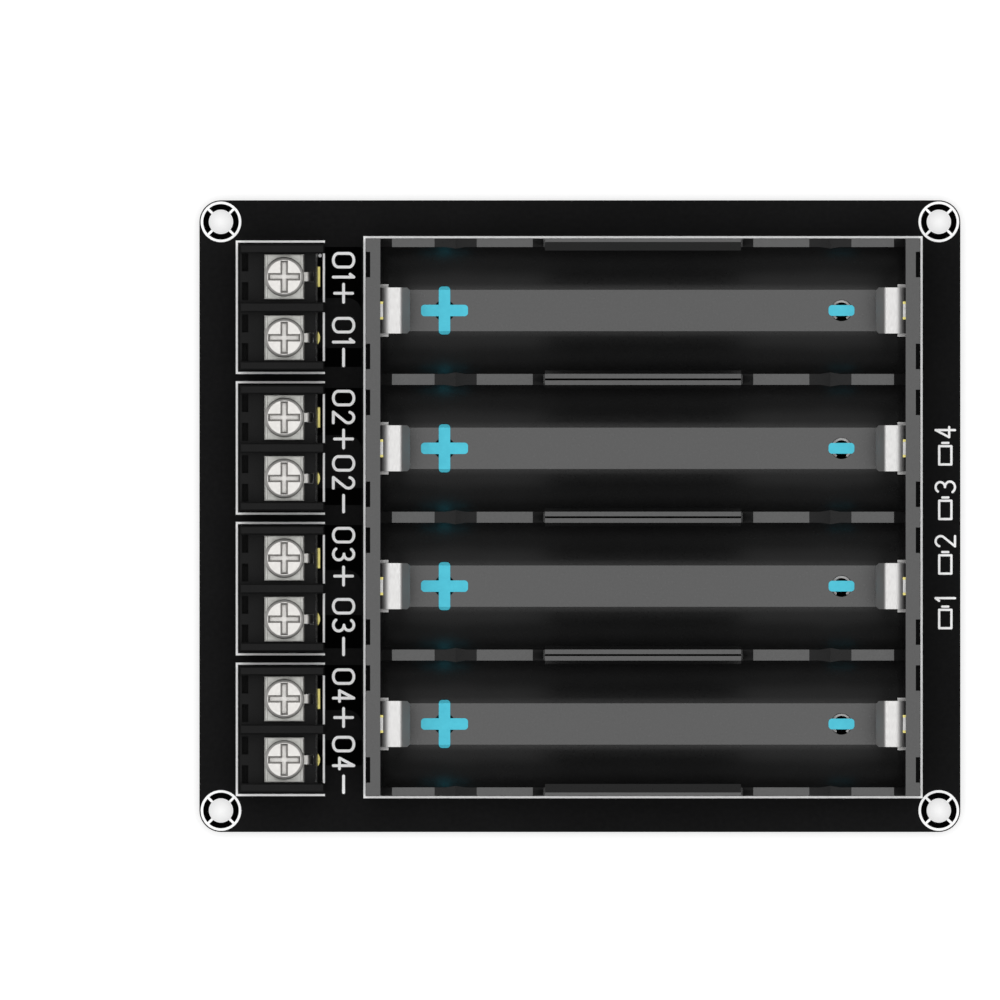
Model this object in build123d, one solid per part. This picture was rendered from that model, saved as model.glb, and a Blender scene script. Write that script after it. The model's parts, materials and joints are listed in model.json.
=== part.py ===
from build123d import *
import math
import os

# A four-bay tray for cylindrical 18650 cells, soldered to a circuit board
# together with four two-pole barrier terminal blocks.
# Millimetres. X runs along the cells, Y across the bays, Z up from the tips
# of the solder-side pins. The origin lies under the middle of the board.

# Circuit board
board_length = 106.0
board_width = 88.0
board_thickness = 1.6
board_corner_radius = 3.0
mount_inset = 3.0
mount_hole_diameter = 3.4
pin_protrusion = 1.4

# Copper pads, plated holes and solder
plating = 0.08
contact_drill_length = 2.0
contact_drill_width = 0.9
terminal_drill_diameter = 1.8
contact_pad_rim = 0.35
terminal_pad_size = 2.8
solder_inset = 0.15
contact_solder_height = 0.6
terminal_solder_height = 0.95
solder_taper = 32.0
solder_below_top = 0.25

# Printed lines on the board
print_thickness = 0.04
tray_frame_line = 0.3
tray_frame_gap = 0.05
block_frame_line = 0.3
block_frame_gap = 0.25
block_frame_rear_inset = 0.08
hole_ring_diameter = 5.67
hole_ring_line = 0.35
hole_ring_spokes = 4
pilot_ring_diameter = 2.6
pilot_ring_line = 0.28
pole_dot_diameter = 0.5
pole_dot_behind_channel = 0.6
pole_dot_from_barrier = 0.3

# The cell that the tray is made for
cell_length = 65.0
cell_diameter = 18.4
cell_clearance = 0.1

# Tray
bay_count = 4
bay_pitch = 19.2
tray_shift_y = -0.15
tray_floor_thickness = 2.0
floor_flat_width = 5.75
outer_wall_waist = 0.7
end_wall_thickness = 2.0
end_wall_draft = 0.3
end_wall_rise = 4.7
rail_thickness = 1.52
rail_drop = 2.2
rail_length_inner = 7.8
rail_ramp_run = 1.46
rail_ramp_fall = 0.7
rail_end_ramp_run = 1.64
notch_length = 5.88
notch_depth = 1.3
clip_length = 27.3
clip_slot_width = 0.25
clip_slot_depth = 2.2
clip_lip_rise = 4.08
clip_bevel_rise = 0.7
clip_land_width = 0.63
outer_clip_land_width = 0.45
clip_groove_width = 0.28
clip_groove_depth = 0.8
floor_hole_diameter = 3.0
floor_hole_from_wall = 8.95
back_groove_width = 3.55
back_groove_depth = 0.6
back_groove_spacing = 12.8

# Leaf contacts
sheet = 0.4
leaf_width = 6.4
leaf_gap_behind = 0.1
leaf_reach = 4.2
leaf_preload = 0.1
leaf_below_wall_top = 0.9
leaf_crown_length = 2.85
leaf_back_radius = 1.1
leaf_front_radius = 0.25
leaf_nose_radius = 1.2
leaf_nose_corner_cut = 0.45
leaf_tail_reach = 2.3
leaf_tail_drop = 4.6
tongue_width = 2.5
tongue_below_crown = 0.5
ear_thickness = 0.45
ear_reach = 1.15
ear_below_crown = 1.0
ear_fall = 0.35
contact_pin_width = 1.5
contact_slot_clearance = 0.1

# Polarity marks in the bays
mark_thickness = 0.15
mark_corner_radius = 0.5
plus_length = 6.55
plus_height = 6.7
plus_stroke = 1.6
minus_length = 3.6
minus_stroke = 1.5

# Terminal blocks
block_count = 4
block_pitch = 19.6
block_shift_y = 0.3
pole_pitch = 8.5
pole_shift = 0.15
barrier_thickness = 1.4
outer_barrier_thickness = 1.25
barrier_depth = 11.8
barrier_height = 13.0
barrier_edge_chamfer = 0.2
channel_depth = 10.6
channel_rear_draft = 0.3
channel_floor_height = 7.6
pocket_lip = 0.3
pocket_length = 0.9
pocket_width = 2.5
pocket_rib = 1.5
pocket_depth = 5.0

# Terminal hardware
strip_length = 5.5
strip_side_gap = 0.15
strip_thickness = 0.8
strip_collar_diameter = 4.4
strip_collar_height = 1.0
leg_width = 1.25
leg_bend_radius = 0.6
leg_from_front = 9.8
screw_from_front = 6.2
clamp_length = 5.4
clamp_side_inset = 0.1
clamp_thickness = 1.0
clamp_bevel = 0.1
clamp_rim_length = 0.4
clamp_rim_fall = 0.05
screw_head_diameter = 5.5
screw_head_flat = 4.7
screw_head_height = 1.9
screw_head_fall = 0.13
screw_head_bevel = 0.12
screw_cross_length = 4.5
screw_cross_width = 1.05
screw_cross_depth = 1.1
screw_cross_bevel = 0.25
screw_shank_diameter = 3.0
screw_shank_length = 6.0
screw_tip_chamfer = 0.4
thread_clearance = 0.05
well_clearance = 0.3
leg_clearance = 0.1
pad_clearance = 0.2

# Share of the board's free length on either side of the blocks and the tray
margin_share = 0.33

# Levels
board_bottom = pin_protrusion
board_top = board_bottom + board_thickness
pad_top = board_top + plating
cradle_radius = cell_diameter / 2 + cell_clearance
floor_top = board_top + tray_floor_thickness
cradle_axis = floor_top + math.sqrt(cradle_radius**2 - (floor_flat_width / 2) ** 2)
rail_top = cradle_axis - rail_drop
lip_top = cradle_axis + clip_lip_rise
clip_top = lip_top + clip_bevel_rise
wall_top = cradle_axis + end_wall_rise
leaf_top = wall_top - leaf_below_wall_top
channel_floor = board_top + channel_floor_height
barrier_top = board_top + barrier_height
strip_top = channel_floor + strip_thickness
clamp_top = strip_top + clamp_thickness

# Lengths and widths
cavity_half = cell_length / 2 - leaf_preload + leaf_reach
tray_half = cavity_half + end_wall_thickness
rail_half = rail_thickness / 2
channel_half = bay_pitch / 2 - rail_half
outer_wall_offset = cradle_radius + outer_wall_waist
tray_width = (bay_count - 1) * bay_pitch + 2 * outer_wall_offset
lip_half = math.sqrt(cradle_radius**2 - clip_lip_rise**2)
clip_half = clip_length / 2
relief_half = clip_half + clip_slot_width
ear_half = leaf_width / 2 + ear_thickness
contact_x = leaf_gap_behind + sheet / 2
channel_width = pole_pitch - barrier_thickness - 2 * pole_shift
channel_side = barrier_thickness / 2 + channel_width
block_half = channel_side + outer_barrier_thickness
strip_width = channel_width - 2 * (pole_shift + strip_side_gap)
clamp_width = strip_width - 2 * clamp_side_inset

# Places on the board
mount_spacing_x = board_length - 2 * mount_inset
mount_spacing_y = board_width - 2 * mount_inset
margin_x = margin_share * (board_length - barrier_depth - 2 * tray_half)
tray_x = board_length / 2 - margin_x - tray_half
block_front_x = margin_x - board_length / 2
clamp_x = block_front_x + screw_from_front
leg_x = block_front_x + leg_from_front


def bay_centres():
    """Y of each bay from the tray's middle, bay 1 first, at the +Y side."""
    first = (bay_count - 1) / 2 * bay_pitch
    return [first - index * bay_pitch for index in range(bay_count)]


def block_centres():
    """Y of each terminal block, block 1 first, at the +Y side."""
    first = (block_count - 1) / 2 * block_pitch - block_shift_y
    return [first - index * block_pitch for index in range(block_count)]


def pole_places():
    """The name and Y of each pole: plus above minus in every block."""
    places = []
    for index, centre in enumerate(block_centres(), start=1):
        places.append((f"{index}_plus", centre + pole_pitch / 2))
        places.append((f"{index}_minus", centre - pole_pitch / 2))
    return places


def contact_places():
    """The name, X of the wall face, Y and turn of each leaf contact."""
    places = []
    for index, centre in enumerate(bay_centres(), start=1):
        y = tray_shift_y + centre
        places.append((f"positive_contact_{index}", tray_x - cavity_half, y, 0))
        places.append((f"negative_contact_{index}", tray_x + cavity_half, y, 180))
    return places


def block(x_limits, y_limits, z_limits):
    """A box between three pairs of limits."""
    limits = (x_limits, y_limits, z_limits)
    sizes = [high - low for low, high in limits]
    middle = [(high + low) / 2 for low, high in limits]
    return Pos(*middle) * Box(*sizes)


def panel(across, heights):
    """A rectangle in a profile sketch, between two pairs of limits."""
    width = across[1] - across[0]
    height = heights[1] - heights[0]
    return Pos((across[0] + across[1]) / 2, (heights[0] + heights[1]) / 2) * Rectangle(width, height)


def along_x(sketch, low, high):
    """Extrude a Y-Z profile between two X positions."""
    return extrude(Plane.YZ.offset(low) * sketch, amount=high - low)


def along_y(sketch, low, high):
    """Extrude an X-Z profile between two Y positions."""
    return extrude(Plane.XZ.offset(-high) * sketch, amount=high - low)


def upward(sketch, low, high):
    """Extrude a plan outline between two heights."""
    return extrude(Plane.XY.offset(low) * sketch, amount=high - low)


def outline(*points):
    """A closed straight-sided face."""
    return make_face(Polyline(*points, close=True))


def contact_drill():
    """Plan of a plated slot for one contact pin."""
    return Rot(0, 0, 90) * SlotOverall(contact_drill_length, contact_drill_width)


def contact_pad():
    """Plan of the copper round a contact pin."""
    length = contact_drill_length + 2 * contact_pad_rim
    width = contact_drill_width + 2 * contact_pad_rim
    return Rot(0, 0, 90) * SlotOverall(length, width)


def terminal_drill():
    """Plan of a plated hole for one terminal leg."""
    return Circle(terminal_drill_diameter / 2)


def terminal_pad(square):
    """Plan of the copper round a terminal leg."""
    if square:
        return Rectangle(terminal_pad_size, terminal_pad_size)
    return Circle(terminal_pad_size / 2)


def pin_places():
    """Plan position, drill and pad of every soldered pin."""
    places = []
    for name, wall_x, y, turn in contact_places():
        x = wall_x + (contact_x if turn == 0 else -contact_x)
        places.append((x, y, contact_drill(), contact_pad()))
    for name, y in pole_places():
        places.append((leg_x, y, terminal_drill(), terminal_pad(name.endswith("plus"))))
    return places


def solder_joint(drill, foot, height, pin):
    """Solder that fills one plated hole and climbs its pin below the board."""
    pad_bottom = board_bottom - plating
    joint = upward(offset(drill, amount=-plating), pad_bottom, board_top - solder_below_top)
    base = Plane.XY.offset(pad_bottom) * offset(foot, amount=-solder_inset)
    joint += extrude(base, amount=-height, taper=solder_taper)
    return joint - upward(Rectangle(*pin), 0, board_top)


def circuit_board():
    """The rounded board with its corner holes and drilled pin holes."""
    plan = RectangleRounded(board_length, board_width, board_corner_radius)
    plan -= GridLocations(mount_spacing_x, mount_spacing_y, 2, 2) * Circle(mount_hole_diameter / 2)
    for x, y, drill, pad in pin_places():
        plan -= Pos(x, y) * drill
    return upward(plan, board_bottom, board_top)


def solder_pads():
    """Plated holes: a collar above, a lining and a collar below."""
    pads = []
    for x, y, drill, pad in pin_places():
        bore = offset(drill, amount=-plating)
        rim = upward(pad - bore, board_top, pad_top)
        rim += upward(drill - bore, board_bottom, board_top)
        rim += upward(pad - bore, board_bottom - plating, board_bottom)
        pads.append(Pos(x, y) * rim)
    return Compound(children=pads)


def solder_joints():
    """The solder of every pin."""
    at_contact = solder_joint(contact_drill(), contact_pad(), contact_solder_height, (sheet, contact_pin_width))
    leg = (strip_thickness, leg_width)
    at_terminal = solder_joint(terminal_drill(), terminal_pad(False), terminal_solder_height, leg)
    joints = []
    for name, wall_x, y, turn in contact_places():
        x = wall_x + (contact_x if turn == 0 else -contact_x)
        joints.append(Pos(x, y) * at_contact)
    for name, y in pole_places():
        joints.append(Pos(leg_x, y) * at_terminal)
    return Compound(children=joints)


def frame_line(length, width, line):
    """Plan of a rectangular line, given by its inner edge."""
    return Rectangle(length + 2 * line, width + 2 * line) - Rectangle(length, width)


def hole_ring():
    """Plan of the ring and spokes printed round a mounting hole."""
    outer = hole_ring_diameter / 2
    hole = mount_hole_diameter / 2
    ring = Circle(outer) - Circle(outer - hole_ring_line)
    spoke_length = outer - hole - hole_ring_line / 2
    spoke = Pos(hole + spoke_length / 2, 0) * Rectangle(spoke_length, hole_ring_line)
    ring += PolarLocations(0, hole_ring_spokes, start_angle=180 / hole_ring_spokes) * spoke
    return ring - Circle(hole)


def block_frame():
    """Plans of the lines round one terminal block, which stop at its barriers."""
    front_x = block_front_x - block_frame_gap - block_frame_line / 2
    rear_x = block_front_x + barrier_depth - block_frame_rear_inset
    side_y = block_half + block_frame_gap + block_frame_line / 2
    length = rear_x - front_x + block_frame_line
    lines = frame_line(length - 2 * block_frame_line, 2 * side_y - block_frame_line, block_frame_line)
    lines = Pos((front_x + rear_x) / 2, 0) * lines
    lines -= Pos(rear_x, 0) * Rectangle(2 * block_frame_line, 2 * (block_half + block_frame_gap))
    channel_middle = channel_side - channel_width / 2
    rear_line = Rectangle(block_frame_line, channel_width)
    return [lines, Pos(rear_x, channel_middle) * rear_line, Pos(rear_x, -channel_middle) * rear_line]


def board_print():
    """The white lines that show round the tray, the blocks and the holes."""
    gap = 2 * tray_frame_gap
    length = 2 * tray_half + gap
    width = tray_width + gap
    plans = [Pos(tray_x, tray_shift_y) * frame_line(length, width, tray_frame_line)]
    kept_free = Pos(tray_x, tray_shift_y) * Rectangle(
        length + 2 * tray_frame_line + gap, width + 2 * tray_frame_line + gap
    )
    for place in GridLocations(mount_spacing_x, mount_spacing_y, 2, 2):
        plans.append(place * hole_ring() - kept_free)
    pilot = Circle(pilot_ring_diameter / 2) - Circle(pilot_ring_diameter / 2 - pilot_ring_line)
    hole_x = cavity_half - floor_hole_from_wall
    for y in bay_centres():
        plans.append(Pos(tray_x - hole_x, tray_shift_y + y) * pilot)
        plans.append(Pos(tray_x + hole_x, tray_shift_y + y) * pilot)
    for y in block_centres():
        for plan in block_frame():
            plans.append(Pos(0, y) * plan)
    dot_x = block_front_x + channel_depth + pole_dot_behind_channel
    dot_y = block_centres()[0] + channel_side - pole_dot_from_barrier
    plans.append(Pos(dot_x, dot_y) * Circle(pole_dot_diameter / 2))
    return Compound(children=[upward(plan, board_top, board_top + print_thickness) for plan in plans])


def cradle(y, low, high):
    """The round of one bay between two heights, as a Y-Z profile."""
    disc = Pos(y, cradle_axis) * Circle(cradle_radius)
    return disc & panel((y - cradle_radius, y + cradle_radius), (low, high))


def rail_section():
    """Y-Z profile of the tray beyond the spring clips."""
    arc_top = cradle_axis - math.sqrt(cradle_radius**2 - channel_half**2)
    section = panel((-tray_width / 2, tray_width / 2), (board_top, rail_top))
    for y in bay_centres():
        section -= cradle(y, floor_top, cradle_axis)
        section += panel((y - channel_half - rail_half, y - channel_half), (arc_top, rail_top))
        section += panel((y + channel_half, y + channel_half + rail_half), (arc_top, rail_top))
    return section


def clip_section():
    """Y-Z profile of the spring clips: rounds that close in over the cells."""
    section = panel((-tray_width / 2, tray_width / 2), (board_top, clip_top))
    divider_land = bay_pitch / 2 - clip_groove_width / 2 - clip_land_width
    outer_land = outer_wall_offset - outer_clip_land_width
    bays = bay_centres()
    for y in bays:
        left = outer_land if y == bays[-1] else divider_land
        right = outer_land if y == bays[0] else divider_land
        section -= cradle(y, floor_top, lip_top)
        section -= outline(
            (y - lip_half, lip_top),
            (y + lip_half, lip_top),
            (y + right, clip_top),
            (y - left, clip_top),
        )
    for y in bays[:-1]:
        middle = y - bay_pitch / 2
        section -= outline(
            (middle - clip_groove_width / 2, clip_top),
            (middle + clip_groove_width / 2, clip_top),
            (middle, clip_top - clip_groove_depth),
        )
    return section


def rail_limits():
    """Y limits of the tops of the rails between the bays and at both sides."""
    last = (bay_count - 1) / 2 * bay_pitch + channel_half
    limits = [(-tray_width / 2, -last), (last, tray_width / 2)]
    for y in bay_centres()[:-1]:
        limits.append((y - channel_half - rail_thickness, y - channel_half))
    return limits


def rail_cuts():
    """X-Z profiles cut from one half of every rail: two ramps and a notch."""
    notch_start = relief_half + rail_ramp_run + rail_length_inner
    notch_end = notch_start + notch_length
    ramp_end = cavity_half - rail_end_ramp_run
    inner_ramp = outline(
        (relief_half, rail_top - rail_ramp_fall),
        (relief_half + rail_ramp_run, rail_top),
        (relief_half, rail_top),
    )
    notch = outline(
        (notch_start, rail_top),
        (notch_end, rail_top),
        ((notch_start + notch_end) / 2, rail_top - notch_depth),
    )
    end_ramp = outline(
        (ramp_end, rail_top),
        (cavity_half, rail_top),
        (cavity_half, rail_top - rail_ramp_fall),
    )
    return [inner_ramp, notch, end_ramp]


def end_wall():
    """X-Z profile of the wall behind the contacts, drafted on its inner face."""
    return outline(
        (cavity_half - end_wall_draft, board_top),
        (tray_half, board_top),
        (tray_half, wall_top),
        (cavity_half, wall_top),
    )


def contact_seat(y):
    """What one contact needs cut from the wall and floor at the +X end."""
    half = ear_half + contact_slot_clearance
    run = ear_reach + contact_slot_clearance
    seat = block((cavity_half - run, cavity_half), (y - half, y + half), (board_top, wall_top))
    pad_half_x = contact_drill_width / 2 + contact_pad_rim + pad_clearance
    pad_half_y = contact_drill_length / 2 + contact_pad_rim + pad_clearance
    middle = cavity_half - contact_x
    x_limits = (middle - pad_half_x, middle + pad_half_x)
    y_limits = (y - pad_half_y, y + pad_half_y)
    return seat + block(x_limits, y_limits, (board_top, pad_top + pad_clearance))


def battery_tray():
    """The one-piece moulded tray."""
    side = tray_width / 2
    tray = along_x(rail_section(), -tray_half, tray_half)
    for y_limits in rail_limits():
        tray -= block((-relief_half, relief_half), y_limits, (rail_top - clip_slot_depth, rail_top))
    tray += along_x(clip_section(), -clip_half, clip_half)
    for profile in rail_cuts():
        cut = along_y(profile, -side, side)
        tray -= cut
        tray -= mirror(cut, about=Plane.YZ)
    wall = along_y(end_wall(), -side, side)
    tray += wall
    tray += mirror(wall, about=Plane.YZ)
    hole_x = cavity_half - floor_hole_from_wall
    for y in bay_centres():
        seat = contact_seat(y)
        tray -= seat
        tray -= mirror(seat, about=Plane.YZ)
        for x in (-hole_x, hole_x):
            tray -= upward(Pos(x, y) * Circle(floor_hole_diameter / 2), board_top, floor_top)
        for groove_y in (y - back_groove_spacing / 2, y + back_groove_spacing / 2):
            y_limits = (groove_y - back_groove_width / 2, groove_y + back_groove_width / 2)
            x_limits = (tray_half - back_groove_depth, tray_half)
            groove = block(x_limits, y_limits, (board_top, wall_top))
            tray -= groove
            tray -= mirror(groove, about=Plane.YZ)
    return Pos(tray_x, tray_shift_y, 0) * tray


def leaf_contact():
    """One folded leaf contact, its wall face at X = 0, its nose towards +X."""
    crown = leaf_top - sheet / 2
    nose = leaf_reach - sheet / 2
    spine = FilletPolyline(
        (contact_x, 0, pad_top),
        (contact_x, 0, crown),
        (leaf_crown_length, 0, crown),
        (nose, 0, cradle_axis),
        (leaf_tail_reach, 0, cradle_axis - leaf_tail_drop),
        radius=[leaf_back_radius, leaf_front_radius, leaf_nose_radius],
    )
    section = Plane(origin=spine @ 0, z_dir=spine % 0) * Rectangle(sheet, leaf_width)
    leaf = sweep(section, path=spine)
    half = leaf_width / 2
    cut = leaf_nose_corner_cut
    plan = outline(
        (0, -half),
        (leaf_reach - cut, -half),
        (leaf_reach, cut - half),
        (leaf_reach, half - cut),
        (leaf_reach - cut, half),
        (0, half),
    )
    leaf &= upward(plan, 0, wall_top)
    ear_top = leaf_top - ear_below_crown
    ear = outline(
        (0, floor_top),
        (ear_reach, floor_top),
        (ear_reach, ear_top),
        (0, ear_top - ear_fall),
    )
    leaf += along_y(ear, half, ear_half)
    leaf += along_y(ear, -ear_half, -half)
    tongue_top = leaf_top - tongue_below_crown
    y_limits = (-tongue_width / 2, tongue_width / 2)
    leaf += block((0, leaf_gap_behind + sheet), y_limits, (tongue_top - sheet, tongue_top))
    pin = Pos(contact_x, 0) * Rectangle(sheet, contact_pin_width)
    leaf += upward(pin, 0, pad_top + sheet)
    return leaf


def bay_mark(plan, x):
    """A thin mark on the floor of every bay, following the round."""
    marks = []
    for y in bay_centres():
        hollow = cradle(y, floor_top, cradle_axis)
        lifted = Pos(0, mark_thickness) * hollow
        skin = along_x(hollow - lifted, x - cavity_half, x + cavity_half)
        mark = skin & upward(Pos(x, y) * plan, floor_top, cradle_axis)
        marks.append(Pos(tray_x, tray_shift_y, 0) * mark)
    return Compound(children=marks)


def plus_marks():
    """The plus marks near the positive contacts."""
    plan = RectangleRounded(plus_length, plus_stroke, mark_corner_radius)
    plan += RectangleRounded(plus_stroke, plus_height, mark_corner_radius)
    return bay_mark(plan, floor_hole_from_wall - cavity_half)


def minus_marks():
    """The minus marks near the negative contacts."""
    plan = RectangleRounded(minus_length, minus_stroke, mark_corner_radius)
    return bay_mark(plan, cavity_half - floor_hole_from_wall)


def terminal_housing():
    """One moulded two-pole barrier block, centred on Y = 0."""
    channel_rear = block_front_x + channel_depth
    barrier_rear = block_front_x + barrier_depth
    body = outline(
        (block_front_x, board_top),
        (channel_rear + channel_rear_draft, board_top),
        (channel_rear, channel_floor),
        (block_front_x, channel_floor),
    )
    housing = along_y(body, -block_half, block_half)
    for y_limits in (
        (-block_half, -channel_side),
        (-barrier_thickness / 2, barrier_thickness / 2),
        (channel_side, block_half),
    ):
        barrier = block((block_front_x, barrier_rear), y_limits, (board_top, barrier_top))
        housing += chamfer(barrier.faces().sort_by(Axis.Z)[-1].edges(), barrier_edge_chamfer)
    well_radius = strip_collar_diameter / 2 + well_clearance
    well_floor = clamp_top - screw_shank_length - well_clearance
    leg_half_x = strip_thickness / 2 + leg_clearance
    leg_half_y = leg_width / 2 + leg_clearance
    relief_half_size = terminal_pad_size / 2 + pad_clearance
    pocket_start = block_front_x + pocket_lip
    for pole_y in (-pole_pitch / 2, pole_pitch / 2):
        well = Pos(clamp_x, pole_y) * Circle(well_radius)
        housing -= upward(well, well_floor, channel_floor)
        leg_slot = Pos(leg_x, pole_y) * Rectangle(2 * leg_half_x, 2 * leg_half_y)
        housing -= upward(leg_slot, board_top, channel_floor)
        relief = Pos(leg_x, pole_y) * Rectangle(2 * relief_half_size, 2 * relief_half_size)
        housing -= upward(relief, board_top, pad_top + pad_clearance)
        for offset_y in (-(pocket_width + pocket_rib) / 2, (pocket_width + pocket_rib) / 2):
            middle = Pos(pocket_start + pocket_length / 2, pole_y + offset_y)
            pocket = middle * Rectangle(pocket_length, pocket_width)
            housing -= upward(pocket, channel_floor - pocket_depth, channel_floor)
    return housing


def terminal_strip():
    """One tapped strip with its solder leg, its pole at Y = 0."""
    middle = channel_floor + strip_thickness / 2
    front = clamp_x - strip_length / 2
    rear = clamp_x + strip_length / 2
    strip = block((front, rear), (-strip_width / 2, strip_width / 2), (channel_floor, strip_top))
    collar = Pos(clamp_x, 0) * Circle(strip_collar_diameter / 2)
    strip += upward(collar, channel_floor - strip_collar_height, channel_floor)
    path = FilletPolyline((rear - sheet, 0, middle), (leg_x, 0, middle), (leg_x, 0, 0), radius=leg_bend_radius)
    section = Plane(origin=path @ 0, x_dir=(0, 1, 0), z_dir=path % 0) * Rectangle(leg_width, strip_thickness)
    strip += sweep(section, path=path)
    bore = Pos(clamp_x, 0) * Circle(screw_shank_diameter / 2 + thread_clearance)
    return strip - upward(bore, channel_floor - strip_collar_height, strip_top)


def wire_clamp():
    """One clamping plate, its pole at Y = 0."""
    low = clamp_x - clamp_length / 2
    high = clamp_x + clamp_length / 2
    rim_top = clamp_top - clamp_rim_fall
    rim_foot = clamp_rim_length - clamp_rim_fall
    side = outline(
        (low, strip_top),
        (high, strip_top),
        (high, rim_top - clamp_bevel),
        (high - clamp_bevel, rim_top),
        (high - rim_foot, rim_top),
        (high - clamp_rim_length, clamp_top),
        (low + clamp_rim_length, clamp_top),
        (low + rim_foot, rim_top),
        (low + clamp_bevel, rim_top),
        (low, rim_top - clamp_bevel),
    )
    plate = along_y(side, -clamp_width / 2, clamp_width / 2)
    bore = Pos(clamp_x, 0) * Circle(screw_shank_diameter / 2 + thread_clearance)
    return plate - upward(bore, strip_top, clamp_top)


def terminal_screw():
    """One cross-slotted pan-head screw, its pole at Y = 0."""
    profile = outline(
        (0, 0),
        (screw_head_diameter / 2, 0),
        (screw_head_diameter / 2, screw_head_height - screw_head_fall - screw_head_bevel),
        (screw_head_diameter / 2 - screw_head_bevel, screw_head_height - screw_head_fall),
        (screw_head_flat / 2, screw_head_height),
        (0, screw_head_height),
    )
    head = revolve(Plane.XZ * profile, axis=Axis.Z)
    mouth = Rectangle(screw_cross_length, screw_cross_width) + Rectangle(screw_cross_width, screw_cross_length)
    head -= extrude(Plane.XY.offset(screw_head_height) * mouth, amount=-screw_cross_bevel, taper=45)
    slot = offset(mouth, amount=-screw_cross_bevel, kind=Kind.INTERSECTION)
    head -= upward(slot, screw_head_height - screw_cross_depth, screw_head_height)
    shank = Pos(0, 0, -screw_shank_length / 2) * Cylinder(screw_shank_diameter / 2, screw_shank_length)
    shank = chamfer(shank.edges().sort_by(Axis.Z)[0], screw_tip_chamfer)
    return Pos(clamp_x, 0, clamp_top) * (head + shank)


def write(node, shape):
    """Write one node's file."""
    export_step(shape, f"parts/{node}.step")


def main():
    os.makedirs("parts", exist_ok=True)
    write("circuit_board", circuit_board())
    write("solder_pads", solder_pads())
    write("solder_joints", solder_joints())
    write("board_print", board_print())
    write("battery_tray", battery_tray())
    write("plus_marks", plus_marks())
    write("minus_marks", minus_marks())
    contact = leaf_contact()
    for name, x, y, turn in contact_places():
        write(name, Pos(x, y, 0) * Rot(0, 0, turn) * contact)
    housing = terminal_housing()
    for index, y in enumerate(block_centres(), start=1):
        write(f"terminal_housing_{index}", Pos(0, y, 0) * housing)
    strip = terminal_strip()
    clamp = wire_clamp()
    screw = terminal_screw()
    for name, y in pole_places():
        write(f"terminal_strip_{name}", Pos(0, y, 0) * strip)
        write(f"wire_clamp_{name}", Pos(0, y, 0) * clamp)
        write(f"terminal_screw_{name}", Pos(0, y, 0) * screw)


main()
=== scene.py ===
import json
import math

import bpy
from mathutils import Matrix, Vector


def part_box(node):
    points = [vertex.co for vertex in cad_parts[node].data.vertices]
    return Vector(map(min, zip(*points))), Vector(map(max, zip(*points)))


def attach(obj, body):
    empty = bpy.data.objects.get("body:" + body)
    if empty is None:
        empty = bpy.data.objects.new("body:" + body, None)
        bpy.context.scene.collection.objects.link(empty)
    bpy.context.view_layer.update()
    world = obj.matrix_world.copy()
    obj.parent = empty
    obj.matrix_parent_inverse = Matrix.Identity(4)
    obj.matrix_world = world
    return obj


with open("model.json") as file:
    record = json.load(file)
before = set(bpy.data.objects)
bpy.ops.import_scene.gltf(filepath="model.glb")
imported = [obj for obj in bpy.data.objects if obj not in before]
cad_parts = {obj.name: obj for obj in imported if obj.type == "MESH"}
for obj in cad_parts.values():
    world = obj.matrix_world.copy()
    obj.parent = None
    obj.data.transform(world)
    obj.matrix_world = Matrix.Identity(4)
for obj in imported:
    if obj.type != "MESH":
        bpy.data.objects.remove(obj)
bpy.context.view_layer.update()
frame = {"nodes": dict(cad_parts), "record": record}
nodes = frame["nodes"]
board_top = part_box("circuit_board")[1].z

# The looks of a four-bay cell tray on its circuit board. Metres, in the frame
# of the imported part; sizes that are easier to read in millimetres carry MM.
MM = 0.001
bay_count = 4

# Stage, light and camera
floor_size = 4.0
floor_shade = 0.6
floor_glow = 0.55
world_shade = 0.36
lamp_height = 0.9
lamp_diameter = 1.04
lamp_power = 6.9
camera_height = 0.5
view_width = 139.3 * MM
view_centre_x = -11.13 * MM
view_centre_y = 2.25 * MM

# Octaves of the fine noise, and the noise values between which a gloss or a
# colour changes
grain_detail = 3.0
gloss_noise = (0.3, 0.7)
tint_noise = (0.35, 0.65)

# Printed characters: stroke width, height and widths between stroke centres
print_thickness = 0.04 * MM
stroke_step = 0.002 * MM
stroke_width = 0.4 * MM
text_height = 2.86 * MM
zero_width = 1.9 * MM
figure_width = 1.5 * MM
one_width = 0.4 * MM
plus_width = 2.5 * MM
minus_width = 2.3 * MM
text_gap = 1.0 * MM
arc_steps = 14

# Forms of the figures: shares of their height or width, and arcs in degrees
zero_turn = 0.25
one_flag = 0.82
two_arc = (165, -30)
three_upper_turn = 0.24
three_lower_turn = 0.26
three_centre = 0.45
three_upper_reach = 0.5
three_lower_reach = 0.55
three_upper_arc = (150, -90)
three_lower_arc = (90, -150)
four_stem = 0.7
four_bar = 0.3

# Round ends and bends of a stroke. An end starts as a narrow edge, at a small
# angle, and the corner of a sharp bend is cut off at the mitre limit.
cap_steps = 5
cap_start_angle = 0.02
mitre_limit = 0.5

# Places of the pole labels: where each block's plus and minus labels start,
# in millimetres
label_base_x = -34.35 * MM
label_starts_y = (
    (36.6, 27.55),
    (17.4, 8.3),
    (-1.7, -11.6),
    (-21.4, -30.8),
)

# Cell symbols and bay numbers along the far edge
margin_base_x = 52.25 * MM
margin_start_y = -15.6 * MM
margin_pitch = 7.6 * MM
margin_height = 2.7 * MM
margin_stroke = 0.32 * MM
symbol_length = 3.0 * MM
symbol_width = 1.7 * MM
symbol_nub_length = 0.45 * MM
symbol_nub_half = symbol_width / 4
symbol_gap = 0.8 * MM

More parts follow.
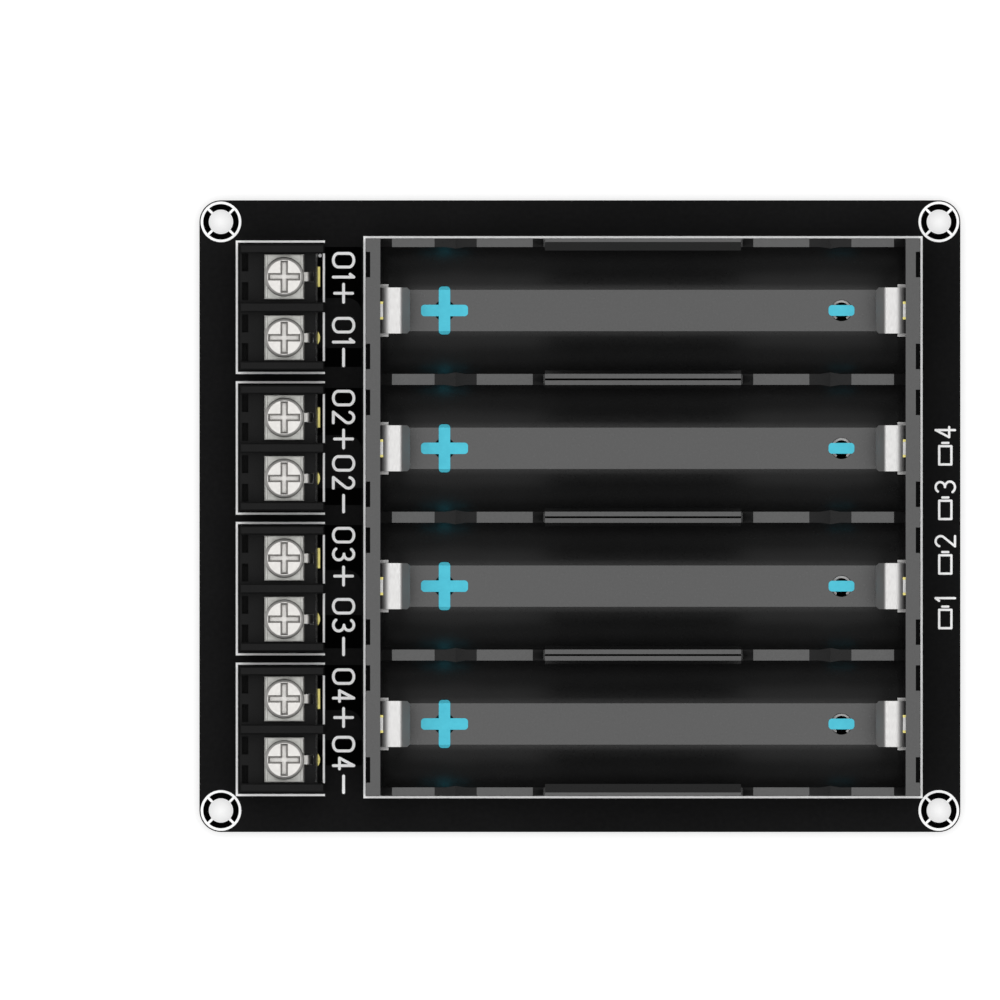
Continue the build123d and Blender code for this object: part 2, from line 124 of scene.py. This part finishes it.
# Bare rings round the mounting holes
hole_spacing_x = 100 * MM
hole_spacing_y = 82 * MM
bare_ring_inner = 1.7 * MM
bare_ring_outer = 2.485 * MM
bare_thickness = 0.01 * MM
ring_steps = 48

# Patches without copper under the mask, beside the poles: Y limits of each in
# millimetres, and whether the copper below it ends in a rounded corner
patch_x = (-36.45 * MM, -30.4 * MM)
patch_limits_y = (
    (37.5, 30.4, True),
    (23.4, 20.8, False),
    (17.85, 11.3, True),
    (3.9, 1.55, False),
    (-1.25, -7.5, True),
    (-13.8, -18.4, False),
    (-20.75, -27.0, True),
    (-31.2, -34.7, False),
)
patch_corner_radius = 2.0 * MM
corner_steps = 8

# Painted shade below the floor hole in each mark: a near-black disc, and the
# open printed ring that shows in the holes at the minus marks
minus_stroke = 1.5 * MM
pilot_shade_radius = 1.46 * MM
pilot_shade_thickness = 0.05 * MM
pilot_ring_radius = 1.28 * MM
pilot_ring_stroke = 0.3 * MM
pilot_ring_angles = (-52, 232)

# Gold plating that shows at both ends of each contact's locating tongue
tongue_half = 1.25 * MM
tongue_drop = 0.5 * MM
tongue_depth = 0.4 * MM
gold_length = 0.35 * MM
gold_thickness = 0.02 * MM


def surface(name, colour, roughness, metallic=0.0, specular=0.5):
    """A Principled material with its plain values set on the shader."""
    material = bpy.data.materials.new(name)
    material.use_nodes = True
    shader = material.node_tree.nodes["Principled BSDF"]
    shader.inputs["Base Color"].default_value = (*colour, 1.0)
    shader.inputs["Roughness"].default_value = roughness
    shader.inputs["Metallic"].default_value = metallic
    shader.inputs["Specular IOR Level"].default_value = specular
    return material


def grain(material, size, rough_range, relief, stretch=(1.0, 1.0, 1.0)):
    """Fine noise on a material: it varies the gloss and raises the surface a little."""
    tree = material.node_tree
    shader = tree.nodes["Principled BSDF"]
    place = tree.nodes.new("ShaderNodeTexCoord")
    scale = tree.nodes.new("ShaderNodeVectorMath")
    scale.operation = "MULTIPLY"
    scale.inputs[1].default_value = stretch
    noise = tree.nodes.new("ShaderNodeTexNoise")
    noise.inputs["Scale"].default_value = 1.0 / size
    noise.inputs["Detail"].default_value = grain_detail
    spread = tree.nodes.new("ShaderNodeMapRange")
    spread.inputs["From Min"].default_value = gloss_noise[0]
    spread.inputs["From Max"].default_value = gloss_noise[1]
    spread.inputs["To Min"].default_value = rough_range[0]
    spread.inputs["To Max"].default_value = rough_range[1]
    bump = tree.nodes.new("ShaderNodeBump")
    bump.inputs["Strength"].default_value = 1.0
    bump.inputs["Distance"].default_value = relief
    tree.links.new(place.outputs["Object"], scale.inputs[0])
    tree.links.new(scale.outputs["Vector"], noise.inputs["Vector"])
    tree.links.new(noise.outputs["Fac"], spread.inputs["Value"])
    tree.links.new(spread.outputs["Result"], shader.inputs["Roughness"])
    tree.links.new(noise.outputs["Fac"], bump.inputs["Height"])
    tree.links.new(bump.outputs["Normal"], shader.inputs["Normal"])


def tint(material, size, darker, lighter):
    """Slow noise that moves the base colour between two near colours."""
    tree = material.node_tree
    shader = tree.nodes["Principled BSDF"]
    place = tree.nodes.new("ShaderNodeTexCoord")
    noise = tree.nodes.new("ShaderNodeTexNoise")
    noise.inputs["Scale"].default_value = 1.0 / size
    ramp = tree.nodes.new("ShaderNodeValToRGB")
    ramp.color_ramp.elements[0].position = tint_noise[0]
    ramp.color_ramp.elements[1].position = tint_noise[1]
    ramp.color_ramp.elements[0].color = (*darker, 1.0)
    ramp.color_ramp.elements[1].color = (*lighter, 1.0)
    tree.links.new(place.outputs["Object"], noise.inputs["Vector"])
    tree.links.new(noise.outputs["Fac"], ramp.inputs["Fac"])
    tree.links.new(ramp.outputs["Color"], shader.inputs["Base Color"])


def build_materials():
    """One material for each slot of the record, and one for the bare laminate, which also serves as
    painted shade below the tray's floor holes.
    """
    board = surface("solder_mask", (0.0055, 0.0055, 0.0057), 0.7, specular=0.06)
    grain(board, 0.6 * MM, (0.62, 0.76), 0.002 * MM)
    tint(board, 9 * MM, (0.0050, 0.0050, 0.0052), (0.0060, 0.0060, 0.0062))
    ink = surface("white_print", (0.9, 0.9, 0.9), 0.3, specular=0.95)
    grain(ink, 0.15 * MM, (0.26, 0.34), 0.001 * MM)
    tint(ink, 0.4 * MM, (0.88, 0.88, 0.88), (0.94, 0.94, 0.94))
    gold = surface("gold_plate", (0.36, 0.32, 0.11), 0.35, metallic=1.0)
    grain(gold, 0.2 * MM, (0.28, 0.42), 0.002 * MM)
    solder = surface("solder", (0.6, 0.6, 0.61), 0.3, metallic=1.0)
    grain(solder, 0.5 * MM, (0.2, 0.42), 0.01 * MM)
    tray = surface("tray_plastic", (0.0045, 0.0045, 0.0046), 0.31, specular=0.555)
    grain(tray, 0.25 * MM, (0.27, 0.35), 0.0012 * MM)
    tint(tray, 4 * MM, (0.0041, 0.0041, 0.0042), (0.0049, 0.0049, 0.0050))
    mark = surface("cyan_film", (0.058, 0.428, 0.544), 0.4, metallic=0.25, specular=0.15)
    grain(mark, 0.3 * MM, (0.36, 0.44), 0.001 * MM)
    tint(mark, 1.2 * MM, (0.055, 0.414, 0.53), (0.061, 0.442, 0.558))
    contact = surface("contact_tin", (0.57, 0.565, 0.56), 0.6, metallic=1.0)
    grain(contact, 0.12 * MM, (0.55, 0.65), 0.001 * MM, stretch=(1.0, 0.15, 1.0))
    housing = surface("housing_plastic", (0.0078, 0.0078, 0.0079), 0.28, specular=0.04)
    grain(housing, 0.12 * MM, (0.25, 0.31), 0.003 * MM)
    tint(housing, 2 * MM, (0.0073, 0.0073, 0.0074), (0.0083, 0.0083, 0.0084))
    strip = surface("strip_tin", (0.27, 0.265, 0.255), 0.38, metallic=1.0)
    grain(strip, 0.2 * MM, (0.3, 0.45), 0.002 * MM)
    clamp = surface("clamp_zinc", (0.3, 0.3, 0.285), 0.45, metallic=1.0)
    grain(clamp, 0.15 * MM, (0.38, 0.5), 0.002 * MM, stretch=(0.2, 1.0, 1.0))
    screw = surface("screw_nickel", (0.46, 0.45, 0.435), 0.5, metallic=1.0)
    grain(screw, 0.18 * MM, (0.46, 0.54), 0.002 * MM)
    # Near-black: the bare laminate round the mounting holes and beside the poles, and also the
    # painted shade down the tray's floor holes
    bare = surface("bare_laminate_and_hole_shade", (0.0012, 0.0012, 0.0012), 0.9, specular=0.0)
    grain(bare, 0.3 * MM, (0.85, 0.95), 0.002 * MM)
    return {
        "board": board,
        "print": ink,
        "pad": gold,
        "solder": solder,
        "tray": tray,
        "mark": mark,
        "contact": contact,
        "housing": housing,
        "strip": strip,
        "clamp": clamp,
        "screw": screw,
        "bare": bare,
    }


def dress(node, material):
    """Give a CAD node one material."""
    node.data.materials.clear()
    node.data.materials.append(material)


def new_mesh(name, points, faces, material):
    """A mesh object in the frame's own coordinates."""
    mesh = bpy.data.meshes.new(name)
    mesh.from_pydata(points, [], faces)
    mesh.update()
    mesh.materials.append(material)
    piece = bpy.data.objects.new(name, mesh)
    bpy.context.scene.collection.objects.link(piece)
    return piece


def add_to_holder(piece):
    """Make a piece part of the fixed body."""
    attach(piece, "holder")


def joined(shapes):
    """Points and faces of several shapes as one."""
    points = []
    faces = []
    for shape_points, shape_faces in shapes:
        faces += [tuple(corner + len(points) for corner in face) for face in shape_faces]
        points += shape_points
    return points, faces


def slab(outline, low, high):
    """Points and faces of a flat piece, its outline given clockwise from above."""
    count = len(outline)
    points = [(x, y, low) for x, y in outline] + [(x, y, high) for x, y in outline]
    faces = [tuple(range(count)), tuple(range(2 * count - 1, count - 1, -1))]
    for index in range(count):
        following = (index + 1) % count
        faces.append((index, index + count, following + count, following))
    return points, faces


def section(left, right, low, high):
    """The four points of a bar's section, seen along the bar."""
    return [(*left, high), (*left, low), (*right, high), (*right, low)]


def section_faces(index, following):
    """The four sides of a bar between two of its sections, which have four points each."""
    near = 4 * index
    far = 4 * following
    return [
        (near, near + 2, far + 2, far),
        (near + 1, far + 1, far + 3, near + 3),
        (near, far, far + 1, near + 1),
        (near + 2, near + 3, far + 3, far + 2),
    ]


def arc(centre, radii, start, end, steps=arc_steps):
    """Points along an ellipse's arc, angles in degrees."""
    points = []
    for step in range(steps + 1):
        angle = math.radians(start + (end - start) * step / steps)
        x = centre[0] + radii[0] * math.cos(angle)
        y = centre[1] + radii[1] * math.sin(angle)
        points.append(Vector((x, y)))
    return points


def line(*points):
    """A straight stroke through points."""
    return [Vector(point) for point in points]


def figure_strokes(figure, height):
    """The strokes of one character and its width, from its lower left corner."""
    size = height / text_height
    wide = figure_width * size
    if figure == "0":
        half = zero_width * size / 2
        turn = zero_turn * height
        lower = (half, turn)
        upper = (half, height - turn)
        radii = (half, turn)
        left = arc(lower, radii, 270, 180) + arc(upper, radii, 180, 90)
        right = arc(upper, radii, 90, 0) + arc(lower, radii, 0, -90)
        return [left, right], 2 * half
    if figure == "1":
        wide = one_width * size
        stem = line((wide, 0), (wide, height))
        flag = line((0, one_flag * height), (wide, height))
        return [stem, flag], wide
    if figure == "2":
        half = wide / 2
        top = arc((half, height - half), (half, half), *two_arc)
        return [top + line((0, 0)), line((0, 0), (wide, 0))], wide
    if figure == "3":
        centre = three_centre * wide
        upper = three_upper_turn * height
        lower = three_lower_turn * height
        top = arc((centre, height - upper), (three_upper_reach * wide, upper), *three_upper_arc)
        bottom = arc((centre, lower), (three_lower_reach * wide, lower), *three_lower_arc)
        return [top, bottom], wide
    if figure == "4":
        stem = four_stem * wide
        bar = four_bar * height
        upright = line((stem, 0), (stem, height))
        slope = line((stem, height), (0, bar))
        across = line((0, bar), (wide, bar))
        return [upright, slope, across], wide
    if figure == "+":
        wide = plus_width * size
        low = (height - wide) / 2
        across = line((0, height / 2), (wide, height / 2))
        upright = line((wide / 2, low), (wide / 2, low + wide))
        return [across, upright], wide
    wide = minus_width * size
    return [line((0, height / 2), (wide, height / 2))], wide


def moved(strokes, along):
    """The same strokes, further along the line of print."""
    return [[Vector((point.x + along, point.y)) for point in stroke] for stroke in strokes]


def cap(end, outward, side, half):
    """Middles and half widths of the sections that round off a stroke's end, from its tip."""
    sections = []
    for step in range(cap_steps):
        angle = math.pi / 2 * step / cap_steps
        middle = end + outward * half * math.cos(angle)
        sections.append((middle, side * half * math.sin(angle + cap_start_angle)))
    return sections


def ribbon(stroke, width, low, high):
    """Points and faces of a flat round-ended bar that follows a stroke."""
    half = width / 2
    start_out = (stroke[0] - stroke[1]).normalized()
    end_out = (stroke[-1] - stroke[-2]).normalized()
    sections = cap(stroke[0], start_out, Vector((start_out.y, -start_out.x)), half)
    for index, point in enumerate(stroke):
        before = (point - stroke[index - 1]).normalized() if index else -start_out
        after = (stroke[index + 1] - point).normalized() if index < len(stroke) - 1 else end_out
        along = (before + after).normalized()
        reach = half / max(along.dot(before), mitre_limit)
        sections.append((point, Vector((-along.y, along.x)) * reach))
    sections += reversed(cap(stroke[-1], end_out, Vector((-end_out.y, end_out.x)), half))
    points = []
    for middle, side in sections:
        points += section(middle + side, middle - side, low, high)
    faces = []
    for index in range(len(sections) - 1):
        faces += section_faces(index, index + 1)
    count = len(points)
    faces += [(0, 1, 3, 2), (count - 4, count - 2, count - 1, count - 3)]
    return points, faces


def printed(name, strokes, width, place, material):
    """One printed piece made of strokes, each a hair higher than the last."""
    bars = []
    for index, stroke in enumerate(strokes):
        high = board_top + print_thickness + index * stroke_step
        bars.append(ribbon([place(point) for point in stroke], width, board_top, high))
    add_to_holder(new_mesh(name, *joined(bars), material))


def pole_labels(ink):
    """A number and a sign beside each pole, read from the right-hand side."""
    for block, starts in enumerate(label_starts_y, start=1):
        for pole, sign, start in zip(("plus", "minus"), ("+", "-"), starts):
            strokes = []
            along = 0.0
            for figure in f"0{block}{sign}":
                shapes, wide = figure_strokes(figure, text_height)
                strokes += moved(shapes, along)
                along += wide + text_gap

            def place(point, start=start):
                return Vector((label_base_x + point.y, start * MM - point.x))

            printed(f"pole_label_{block}_{pole}", strokes, stroke_width, place, ink)


def cell_symbol():
    """The strokes of a small cell: a rectangle with a nub at its plus end."""
    low = (margin_height - symbol_width) / 2
    high = low + symbol_width
    middle = margin_height / 2
    body_end = symbol_length - symbol_nub_length
    return [
        line((0, low), (body_end, low)),
        line((body_end, low), (body_end, high)),
        line((body_end, high), (0, high)),
        line((0, high), (0, low)),
        line((symbol_length, middle - symbol_nub_half), (symbol_length, middle + symbol_nub_half)),
    ]


def bay_labels(ink):
    """A cell symbol and a number for each bay along the far edge of the board."""
    for bay in range(bay_count):
        number, _ = figure_strokes(str(bay + 1), margin_height)
        strokes = cell_symbol() + moved(number, symbol_length + symbol_gap)
        start = margin_start_y + bay * margin_pitch

        def place(point, start=start):
            return Vector((margin_base_x - point.y, start + point.x))

        printed(f"bay_label_{bay + 1}", strokes, margin_stroke, place, ink)


def bare_rings(bare):
    """The bare laminate between each mounting hole and its printed ring."""
    places = [(x * hole_spacing_x / 2, y * hole_spacing_y / 2) for x in (-1, 1) for y in (-1, 1)]
    for number, centre in enumerate(places, start=1):
        inner = arc(centre, (bare_ring_inner, bare_ring_inner), 0, 360, ring_steps)
        outer = arc(centre, (bare_ring_outer, bare_ring_outer), 0, 360, ring_steps)
        points = []
        faces = []
        for step in range(ring_steps):
            points += section(inner[step], outer[step], board_top, board_top + bare_thickness)
            faces += section_faces(step, (step + 1) % ring_steps)
        add_to_holder(new_mesh(f"bare_ring_{number}", points, faces, bare))


def bare_patches(bare):
    """The darker patches beside the poles, where no copper lies under the mask."""
    left, right = patch_x
    for number, (high, low, rounded) in enumerate(patch_limits_y, start=1):
        if rounded:
            centre = (right - patch_corner_radius, low * MM - patch_corner_radius)
            edge = arc(centre, (patch_corner_radius, patch_corner_radius), 0, 90, corner_steps)
        else:
            edge = [(right, low * MM)]
        outline = [(left, high * MM), (right, high * MM)] + edge + [(left, low * MM)]
        patch = slab(outline, board_top, board_top + bare_thickness)
        add_to_holder(new_mesh(f"bare_patch_{number}", *patch, bare))


def hole_shade_and_rings(bare, ink):
    """Painted shade below each mark's floor hole, a near-black disc, with an open printed ring at
    the minus marks.
    """
    low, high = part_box("minus_marks")
    first = low.y + minus_stroke / 2
    pitch = (high.y - low.y - minus_stroke) / (bay_count - 1)
    shade_top = board_top + pilot_shade_thickness
    for marks in ("plus_marks", "minus_marks"):
        low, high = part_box(marks)
        for bay in range(bay_count):
            centre = ((low.x + high.x) / 2, first + bay * pitch)
            # Painted shade: a near-black disc stands for the shade down the floor hole
            rim = arc(centre, (pilot_shade_radius, pilot_shade_radius), 360, 0, ring_steps)[1:]
            disc = slab(rim, board_top, shade_top)
            add_to_holder(new_mesh(f"{marks}_bare_{bay + 1}", *disc, bare))
            if marks == "minus_marks":
                radii = (pilot_ring_radius, pilot_ring_radius)
                stroke = arc(centre, radii, *pilot_ring_angles, ring_steps)
                ring = ribbon(stroke, pilot_ring_stroke, shade_top, shade_top + bare_thickness)
                add_to_holder(new_mesh(f"pilot_ring_{bay + 1}", *ring, ink))


def gold_ends(gold):
    """The gold at both ends of each contact's locating tongue, against the end wall."""
    for name in [part["node"] for part in frame["record"]["subparts"] if "contact" in part["node"]]:
        low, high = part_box(name)
        middle = (low.y + high.y) / 2
        left, right = (low.x, low.x + tongue_depth) if low.x < 0 else (high.x - tongue_depth, high.x)
        base = high.z - tongue_drop
        ends = []
        for near in (middle - tongue_half, middle + tongue_half - gold_length):
            far = near + gold_length
            outline = [(left, near), (left, far), (right, far), (right, near)]
            ends.append(slab(outline, base, base + gold_thickness))
        add_to_holder(new_mesh(f"gold_ends_{name}", *joined(ends), gold))


def white_floor():
    """A pale floor that keeps the object's shadow and shows white to the camera."""
    material = surface("floor", (floor_shade,) * 3, 0.9, specular=0.0)
    tree = material.node_tree
    shader = tree.nodes["Principled BSDF"]
    path = tree.nodes.new("ShaderNodeLightPath")
    seen = tree.nodes.new("ShaderNodeMath")
    seen.operation = "ADD"
    through = tree.nodes.new("ShaderNodeMath")
    through.operation = "ADD"
    through.use_clamp = True
    glow = tree.nodes.new("ShaderNodeMath")
    glow.operation = "MULTIPLY"
    glow.inputs[1].default_value = floor_glow
    tree.links.new(path.outputs["Is Camera Ray"], seen.inputs[0])
    tree.links.new(path.outputs["Is Glossy Ray"], seen.inputs[1])
    tree.links.new(seen.outputs["Value"], through.inputs[0])
    tree.links.new(path.outputs["Is Transmission Ray"], through.inputs[1])
    tree.links.new(through.outputs["Value"], glow.inputs[0])
    tree.links.new(glow.outputs["Value"], shader.inputs["Emission Strength"])
    shader.inputs["Emission Color"].default_value = (1.0, 1.0, 1.0, 1.0)
    half = floor_size / 2
    outline = [(-half, -half, 0), (half, -half, 0), (half, half, 0), (-half, half, 0)]
    floor = new_mesh("floor", outline, [(0, 1, 2, 3)], material)


def studio_world():
    """Even grey light from all round; the camera sees it as white."""
    world = bpy.data.worlds.new("studio")
    world.use_nodes = True
    bpy.context.scene.world = world
    tree = world.node_tree
    background = tree.nodes["Background"]
    background.inputs["Color"].default_value = (1.0, 1.0, 1.0, 1.0)
    path = tree.nodes.new("ShaderNodeLightPath")
    seen = tree.nodes.new("ShaderNodeMath")
    seen.operation = "MAXIMUM"
    strength = tree.nodes.new("ShaderNodeMapRange")
    strength.inputs["To Min"].default_value = world_shade
    strength.inputs["To Max"].default_value = 1.0
    tree.links.new(path.outputs["Is Camera Ray"], seen.inputs[0])
    tree.links.new(path.outputs["Is Transmission Ray"], seen.inputs[1])
    tree.links.new(seen.outputs["Value"], strength.inputs["Value"])
    tree.links.new(strength.outputs["Result"], background.inputs["Strength"])


def overhead_lamp():
    """One large soft lamp straight above the part."""
    light = bpy.data.lights.new("overhead", "AREA")
    light.shape = "DISK"
    light.size = lamp_diameter
    light.energy = lamp_power
    lamp = bpy.data.objects.new("overhead", light)
    lamp.location = (0, 0, lamp_height)
    lamp.visible_camera = False
    bpy.context.scene.collection.objects.link(lamp)


def photo_camera():
    """A parallel view straight down, framed as the photograph."""
    lens = bpy.data.cameras.new("camera")
    lens.type = "ORTHO"
    lens.ortho_scale = view_width
    camera = bpy.data.objects.new("camera", lens)
    camera.location = (view_centre_x, view_centre_y, camera_height)
    bpy.context.scene.collection.objects.link(camera)
    bpy.context.scene.camera = camera


bpy.context.scene.view_settings.view_transform = "Standard"
materials = build_materials()
for part in frame["record"]["subparts"]:
    dress(nodes[part["node"]], materials[part["material_slot"]])
pole_labels(materials["print"])
bay_labels(materials["print"])
bare_rings(materials["bare"])
bare_patches(materials["bare"])
hole_shade_and_rings(materials["bare"], materials["print"])
gold_ends(materials["pad"])
white_floor()
studio_world()
overhead_lamp()
photo_camera()
